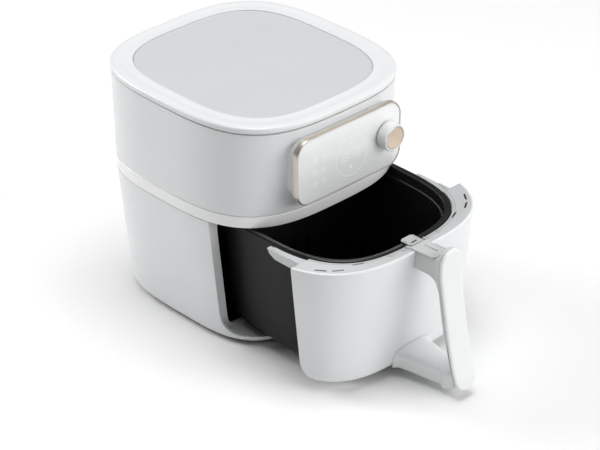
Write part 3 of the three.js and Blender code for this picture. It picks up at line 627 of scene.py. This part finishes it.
def drawer_rim():
    """Grey cap inside the shell's lip, with a groove, slots, clips and the two side arms."""
    cap = body_loft([(181.6, 2.85), (183.4, 2.85), (183.75, 3.0), (183.9, 3.3)])
    common(cap, block(-FAR, FAR, -FAR, DRAWER_END_Y, 0, FAR))
    hole = [(0, 160), (0, 182.9), (0.5, 183.5), (1.3, 184.2)]
    a, b, n = PAN_RIM
    for side in (-1, 1):
        join(cap, side_arm(side))
    cut(cap, oval_loft([(a + GAP + grow, b + GAP + grow, n, z) for grow, z in hole]))
    groove = oval_loft([(a + 4.2, b + 4.2, n, 183.3), (a + 4.4, b + 4.4, n, 190)])
    cut(groove, oval_loft([(a + 3.4, b + 3.4, n, 180), (a + 3.4, b + 3.4, n, 195)]))
    cut(cap, groove)
    for outline in cap_slots():
        cut(cap, prism(outline, "z", 170, 190))
    for side in (-1, 1):
        join(cap, block(side * 15.5 - 1.3, side * 15.5 + 1.3, -149.6, -143.6, 183, 185.5))
        for x, y, degrees in [(22, -147.5, 2), (42, -145.5, 9)]:
            clip = rounded_rectangle(3.4, 2.3, 0.8, 0, 0, 4)
            placing = (side * x, y, math.radians(side * degrees))
            join(cap, prism(turned_outline(clip, *placing), "z", 183, 184.9))
            cut(cap, prism(turned_outline(clip, *placing, 0.6), "z", 184.2, 190))
    join(cap, block(139, 145.3, -86.5, DRAWER_END_Y, 173, 183))
    return rename(cap, "drawer_cap")


def cap_slots():
    """Plan outlines of the six slots in the cap."""
    slot = rounded_rectangle(7.6, 1.3, 1.25, 0, 0, 6)
    outlines = []
    for side in (-1, 1):
        for x, y, degrees in [(129.1, -110, 53), (114, -124.8, 33), (85.4, -131, 24)]:
            outlines.append(turned_outline(slot, side * x, y, math.radians(side * degrees)))
    return outlines


def painted_slot_shade():
    """Black floors a little way down the cap's slots: painted shade for the dark hollow below them."""
    shade_floors = None
    for outline in cap_slots():
        shade_piece = prism(outline, "z", 181.2, 182.2)
        shade_floors = join(shade_floors, shade_piece) if shade_floors else shade_piece
    return rename(shade_floors, "slot_shade_floors")


def tub_levels(profile, low, high):
    """Levels of a tub from (half width, height). The plan is rounder towards the top."""
    levels = []
    for a, z in profile:
        exponent = 3.2 - 0.2 * (z - low) / (high - low)
        levels.append((a, a + TUB_STRETCH, exponent, z))
    return levels


def pan():
    """Deep pan with a rounded foot and a flat flange."""
    foot = [(98, 19.2), (101, 19.5), (103.5, 20.6), (105.6, 22.8), (107, 26), (108.2, 30)]
    wall = [(109.5 + 15.8 * t, 34 + 146 * t) for t in spread(0, 1, 12)]
    flange = [(127.2, 180.8), (127.6, 181.2), (127.6, 182.2), (127.2, 182.6)]
    inner = [(123.8, 182.6), (123.3, 182), (108, 36), (106, 27), (102, 23), (95, 21.2)]
    return oval_loft(tub_levels([*foot, *wall, *flange, *inner], 19, 183), "pan_shell")


def basket():
    """Lift-out basket: rolled rim, a step below it on the inside, slots low down, open floor."""
    outside = [(98.5, 31), (101, 31.8), (102.4, 34), (120, 178), (120.3, 182.9), (125.0, 182.9),
               (125.4, 183.2), (125.3, 183.8), (124.8, 184.15)]
    rolled = [(124.0, 184.2), (122.6, 183.9), (121.2, 183.6), (119.6, 183.4), (118.9, 182.6),
              (118.5, 181), (117.6, 172), (117.1, 170.6), (116.2, 170)]
    inside = [(115.6, 169), (115.3, 166), (99.9, 36), (99.4, 33)]
    shell = oval_loft(tub_levels([*outside, *rolled, *inside], 31, 183), "basket_shell")
    cut(shell, oval_loft([(90, 104, 3.2, 20), (90, 104, 3.2, 50)]))
    for i in range(-3, 4):
        for axis, pitch in (("y", 20), ("x", 22)):
            cut(shell, prism(rounded_rectangle(4, 9, 3.9, i * pitch, 49, 6), axis, -FAR, FAR))
    return shell


def basket_lug():
    """Hook on the basket's rim that the drawer's catch holds."""
    outline = [(-11, -131), (-11, -143), (-8, -147.6), (8, -147.6), (11, -143), (11, -131),
               (7, -128.4), (-7, -128.4)]
    lug = prism(outline, "z", 184.5, 185.5)
    cut(lug, prism(rounded_rectangle(5.2, 1.5, 1.2, 0, -142.6, 4), "z", 180, 190))
    join(lug, prism(rounded_rectangle(8.6, 1.0, 0.9, 0, -138.2, 4), "z", 185.2, 185.69))
    for side in (-1, 1):
        join(lug, prism(circle(1.5, side * 6.4, -133.6, 20), "z", 185.2, 185.69))
        cut(lug, block(side * 9.3 - 0.6, side * 9.3 + 0.6, -141, -134, 185.1, 190))
    return rename(lug, "basket_hook")


# ------------------------------------------------------------------ handle
END_POINTS = 33
SIDE_POINTS = 26
GRIP_STRIPS = 6


def grip_ring(inset, depth_at):
    """Front view of the grip, with straight sides and round ends, drawn in by inset.

    depth_at gives y for a height.
    """
    half = GRIP_HALF_WIDTH - inset
    low, high = HANDLE_BOTTOM + GRIP_HALF_WIDTH, HANDLE_TOP - GRIP_HALF_WIDTH
    outline = []
    for start, middle, sign, other in ((0, high, -1, low), (math.pi, low, 1, high)):
        for angle in spread(start, start + math.pi, END_POINTS):
            outline.append((half * math.cos(angle), middle + half * math.sin(angle)))
        for z in spread(middle, other, SIDE_POINTS)[1:-1]:
            outline.append((sign * half, z))
    return [(x, depth_at(z), z) for x, z in outline]


def grip_solid(name, stations):
    """Solid through grip rings. Each end is closed by strips from side to side that follow the bend."""
    rings = [grip_ring(inset, depth_at) for inset, depth_at in stations]
    count = len(rings[0])
    points = [point for ring in rings for point in ring]
    faces = []
    for r in range(len(rings) - 1):
        for i in range(count):
            j = (i + 1) % count
            faces.append((r * count + i, r * count + j, (r + 1) * count + j, (r + 1) * count + i))
    top = END_POINTS // 2
    right_order = [(top - k) % count for k in range(count // 2 + 1)]
    left_order = [(top + k) % count for k in range(count // 2 + 1)]
    for base in (0, (len(rings) - 1) * count):
        grid = []
        for right, left in zip(right_order, left_order):
            row = [base + right]
            p, q = points[base + right], points[base + left]
            for step in range(1, GRIP_STRIPS):
                t = step / GRIP_STRIPS
                points.append(tuple(p[c] + (q[c] - p[c]) * t for c in range(3)))
                row.append(len(points) - 1)
            row.append(base + left)
            grid.append(row)
        for above, below in zip(grid, grid[1:]):
            for k in range(GRIP_STRIPS):
                faces.append((above[k], above[k + 1], below[k + 1], below[k]))
    return new_object(name, points, faces)


def front_y(z):
    return smooth_value(GRIP_FRONT, z)


def inside_y(z):
    return smooth_value(GRIP_INSIDE, z)


def sweep(stations, squareness, belly, steps=48):
    """Cross-sections along y, from (y, half width, underside, top), smoothed between.

    A section is a rounded block with its widest line at the height belly above its underside.
    """
    columns = [[(-station[0], station[i]) for station in stations] for i in (1, 2, 3)]
    rings = []
    for at in spread(-stations[0][0], -stations[-1][0], steps):
        half, low, high = (smooth_value(column, at) for column in columns)
        above = high - low - belly
        ring = oval(half, 1, squareness, 0, 72)
        rings.append([(x, -at, low + belly + v * (above if v > 0 else belly)) for x, v, _ in ring])
    return loft("tool", rings)


def tongue_plate():
    """Flat plate on top of the arm, rising a little forwards, with a raised lip round it."""
    def top(y):
        return 185.75 + 0.09 * (-161 - y)

    profile = [(0.9, 2.4), (0.2, 1.9), (0, 1.4), (0, 0.35), (0.15, 0.1), (0.45, 0), (1.1, 0),
               (1.5, 0.15), (1.8, 0.5), (2.1, 0.62)]
    rings = []
    for inset, below in profile:
        half_x = TONGUE_HALF_WIDTH - inset
        outline = rounded_rectangle(half_x, 14.75 - inset, 6 - inset, 0, -175.75)
        rings.append([(x, y, top(y) - below) for x, y in outline])
    return loft("tool", rings)


def handle_frame():
    """Rear half of the grip, the arm at its top and the tongue that reaches over the drawer."""
    def between(depth):
        return lambda z: front_y(z) + depth

    def from_inside(depth):
        return lambda z: inside_y(z) - depth

    frame_part = grip_solid("handle_arm", [
        (2.6, between(4.3)), (2.4, between(4.8)), (1.2, between(5.3)), (0.8, between(6.0)),
        (0.7, from_inside(2.6)), (1.1, from_inside(1.3)), (1.9, from_inside(0.45)),
        (3.2, from_inside(0))])
    stations = [
        (-154, 13.2, 157, 185.1), (-160, 13.2, 157, 185.1), (-168, 13, 157, 185.3),
        (-176, 12.6, 156.8, 185.8), (-184, 12.4, 155.2, 186), (-190, 12.8, 152.5, 186.6),
        (-194, 13.8, 149.5, 188.5), (-198, 15.6, 145, 192.5), (-203.2, 17.2, 137, 198.5)]
    arm = sweep(stations, 7, 14)
    cut(arm, body_loft([(100, -0.35), (CAP_TOP + GAP, -0.35)]))
    join(frame_part, arm)
    tongue = rounded_rectangle(TONGUE_HALF_WIDTH, 6.2, 1, 0, -156.8, 6)
    join(frame_part, prism(tongue, "z", CAP_TOP + GAP, 185.6))
    join(frame_part, tongue_plate())
    cut(frame_part, prism(rounded_rectangle(0.9, 11.5, 0.85, 3, -168.5, 4), "z", 184.9, 190))
    cut(frame_part, prism(circle(1.3, 3, -179, 20), "z", 184.9, 190))
    for x in (-HANDLE_SCREW_X, HANDLE_SCREW_X):
        hole = circle(HANDLE_SCREW_HOLE, x, HANDLE_SCREW_Z, 20)
        cut(frame_part, prism(hole, "y", -176, -150))
    return frame_part


def handle_cover():
    """Front half of the grip, with a rounded edge."""
    def at(depth):
        return lambda z: front_y(z) + depth

    return grip_solid("handle_face", [
        (4.2, at(0)), (2.6, at(0.12)), (1.3, at(0.6)), (0.45, at(1.5)), (0.05, at(2.6)),
        (0, at(3.3)), (0.25, at(3.8)), (0.7, at(4.0))])


def handle_strut():
    """Strut from the drawer's foot to the grip: a wide root, and a boss near the grip."""
    stations = [
        (-138, 36, 12.6, 41), (-145, 34, 13.2, 39.5), (-149, 30.5, 13.6, 38), (-154, 28.3, 13.5, 37.3),
        (-160, 26.5, 13.2, 37), (-170, 24, 12.6, 37), (-180, 21.5, 12, 36.8), (-200, 17.3, 11.4, 35.5),
        (-208, 15.6, 11.6, 35), (-213, 17.4, 10.5, 35.2), (-216.5, 18, 10.4, 35.8),
        (-220, 16.4, 12, 36.5), (-226, 15.2, 14, 38), (-232, 15.4, 15, 41)]
    body = sweep(stations, 4.5, 3, 110)
    beyond = [(inside_y(z) + GAP, z) for z in spread(0, 68, 18)] + [(-260, 68), (-260, 0)]
    cut(body, prism(beyond, "x", -60, 60))
    cut(body, body_loft([(0, -0.4), (60, -0.4)]))
    return rename(body, "handle_brace")


# ------------------------------------------------------------------ pieces
piece(lower_housing(), "housing", white, ["lower_housing"])
piece(trim_band(), "housing", gloss_white, ["trim_band"])
piece(upper_housing(), "housing", white, ["upper_housing"])
piece(top_cover(), "housing", white, ["top_cover"])
piece(top_inlay(), "housing", inlay_grey, ["top_inlay"])
piece(panel_bezel(), "housing", gold, ["panel_bezel"])
piece(panel_face(), "housing", panel_white, ["panel_face"])
piece(panel_marks(), "housing", mark_white, [])
piece(dial_skirt(), "dial", white, ["dial_skirt"])
piece(dial_cap(), "dial", spun_gold, ["dial_cap"])
piece(drawer_front(), "drawer", white, ["drawer_front"], open_drawer=True)
piece(drawer_rim(), "drawer", cap_grey, ["drawer_rim"], open_drawer=True)
# Black floors down in the cap's slots are painted shade, not a real part.
piece(painted_slot_shade(), "drawer", black, [], open_drawer=True)
piece(pan(), "drawer", nonstick, ["pan"], open_drawer=True)
piece(basket(), "basket", enamel, ["basket"], open_drawer=True)
piece(basket_lug(), "basket", cap_grey, ["basket_lug"], open_drawer=True)
piece(handle_frame(), "drawer", handle_grey, ["handle_frame"], open_drawer=True)
piece(handle_cover(), "drawer", handle_white, ["handle_cover"], open_drawer=True)
piece(handle_strut(), "drawer", handle_white, ["handle_strut"], open_drawer=True)

CARRIED = {
    "base_plate": black, "rear_grille": dull_grey, "cord_gland": rubber, "display_module": black,
    "control_board": board, "dial_encoder": black, "chamber_liner": nonstick, "guide_rail_left": black,
    "guide_rail_right": black, "heat_shield": steel, "heating_element": steel, "fan_guard": steel,
    "motor_bracket": steel, "motor": steel, "power_board": board, "temperature_sensor": steel,
    "drawer_switch": black, "switch_plunger": gloss_white, "fan_shaft": steel, "hot_air_fan": steel,
    "cooling_fan": black, "dial_shaft": steel, "front_bracket": dull_grey, "basket_grid": grid_black,
    "handle_screw_left": steel, "handle_screw_right": steel,
}
for place in ("front_left", "front_right", "rear_left", "rear_right"):
    CARRIED["foot_" + place] = rubber
    CARRIED["base_screw_" + place] = steel
for name, material in CARRIED.items():
    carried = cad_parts[name]
    carried.data.materials.clear()
    carried.data.materials.append(material)

# ------------------------------------------------------------------ floor, light and camera
FLOOR_HALF = 9000
corners = [(x * FLOOR_HALF, y * FLOOR_HALF, 0) for x, y in ((-1, -1), (1, -1), (1, 1), (-1, 1))]
floor = new_object("floor", corners, [(0, 1, 2, 3)])
floor_white = principled("floor_white", (0.92, 0.92, 0.92), 0.9, edge=0, variation=0.005)
floor.data.materials.append(floor_white)

# Lights are in metres and watts, and all of them face the same point.
LIGHT_AIM = (0, 0, 0.12)


def area_light(name, location, size, power):
    light = bpy.data.lights.new(name, "AREA")
    light.shape = "DISK"
    light.size = size
    light.energy = power
    holder = bpy.data.objects.new(name, light)
    holder.location = location
    holder.rotation_mode = "QUATERNION"
    holder.rotation_quaternion = (Vector(LIGHT_AIM) - Vector(location)).to_track_quat("-Z", "Y")
    bpy.context.collection.objects.link(holder)


area_light("top", (0, 0, 3.6), 2.4, 80)
area_light("rear left", (-1.3, 2.9, 1.8), 1.8, 72)
area_light("front right", (0.9, -2.9, 1.4), 1.8, 35)
area_light("front", (-0.3, -3.0, 1.5), 1.8, 7)
area_light("side right", (1.9, -2.3, 1.4), 1.8, 17)
area_light("right", (2.9, -0.6, 1.6), 1.8, 13)

world = bpy.data.worlds.new("studio")
bpy.context.scene.world = world
world.use_nodes = True
world.node_tree.nodes["Background"].inputs["Color"].default_value = (1, 1, 1, 1)
world.node_tree.nodes["Background"].inputs["Strength"].default_value = 0.08
bpy.context.scene.view_settings.view_transform = "Standard"

CAMERA_AT = (-1767.1, -1924.1 + SHIFT_Y, 1634.6)
CAMERA_AIM = (-9.85, -97.75 + SHIFT_Y, 130.62)
camera = bpy.data.objects.new("camera", bpy.data.cameras.new("camera"))
bpy.context.collection.objects.link(camera)
camera.data.sensor_width = 36
camera.data.lens = 136.54
camera.data.clip_end = 50
camera.location = Vector(CAMERA_AT) * MM
camera.rotation_mode = "QUATERNION"
camera.rotation_quaternion = (Vector(CAMERA_AIM) - Vector(CAMERA_AT)).to_track_quat("-Z", "Y")
bpy.context.scene.camera = camera
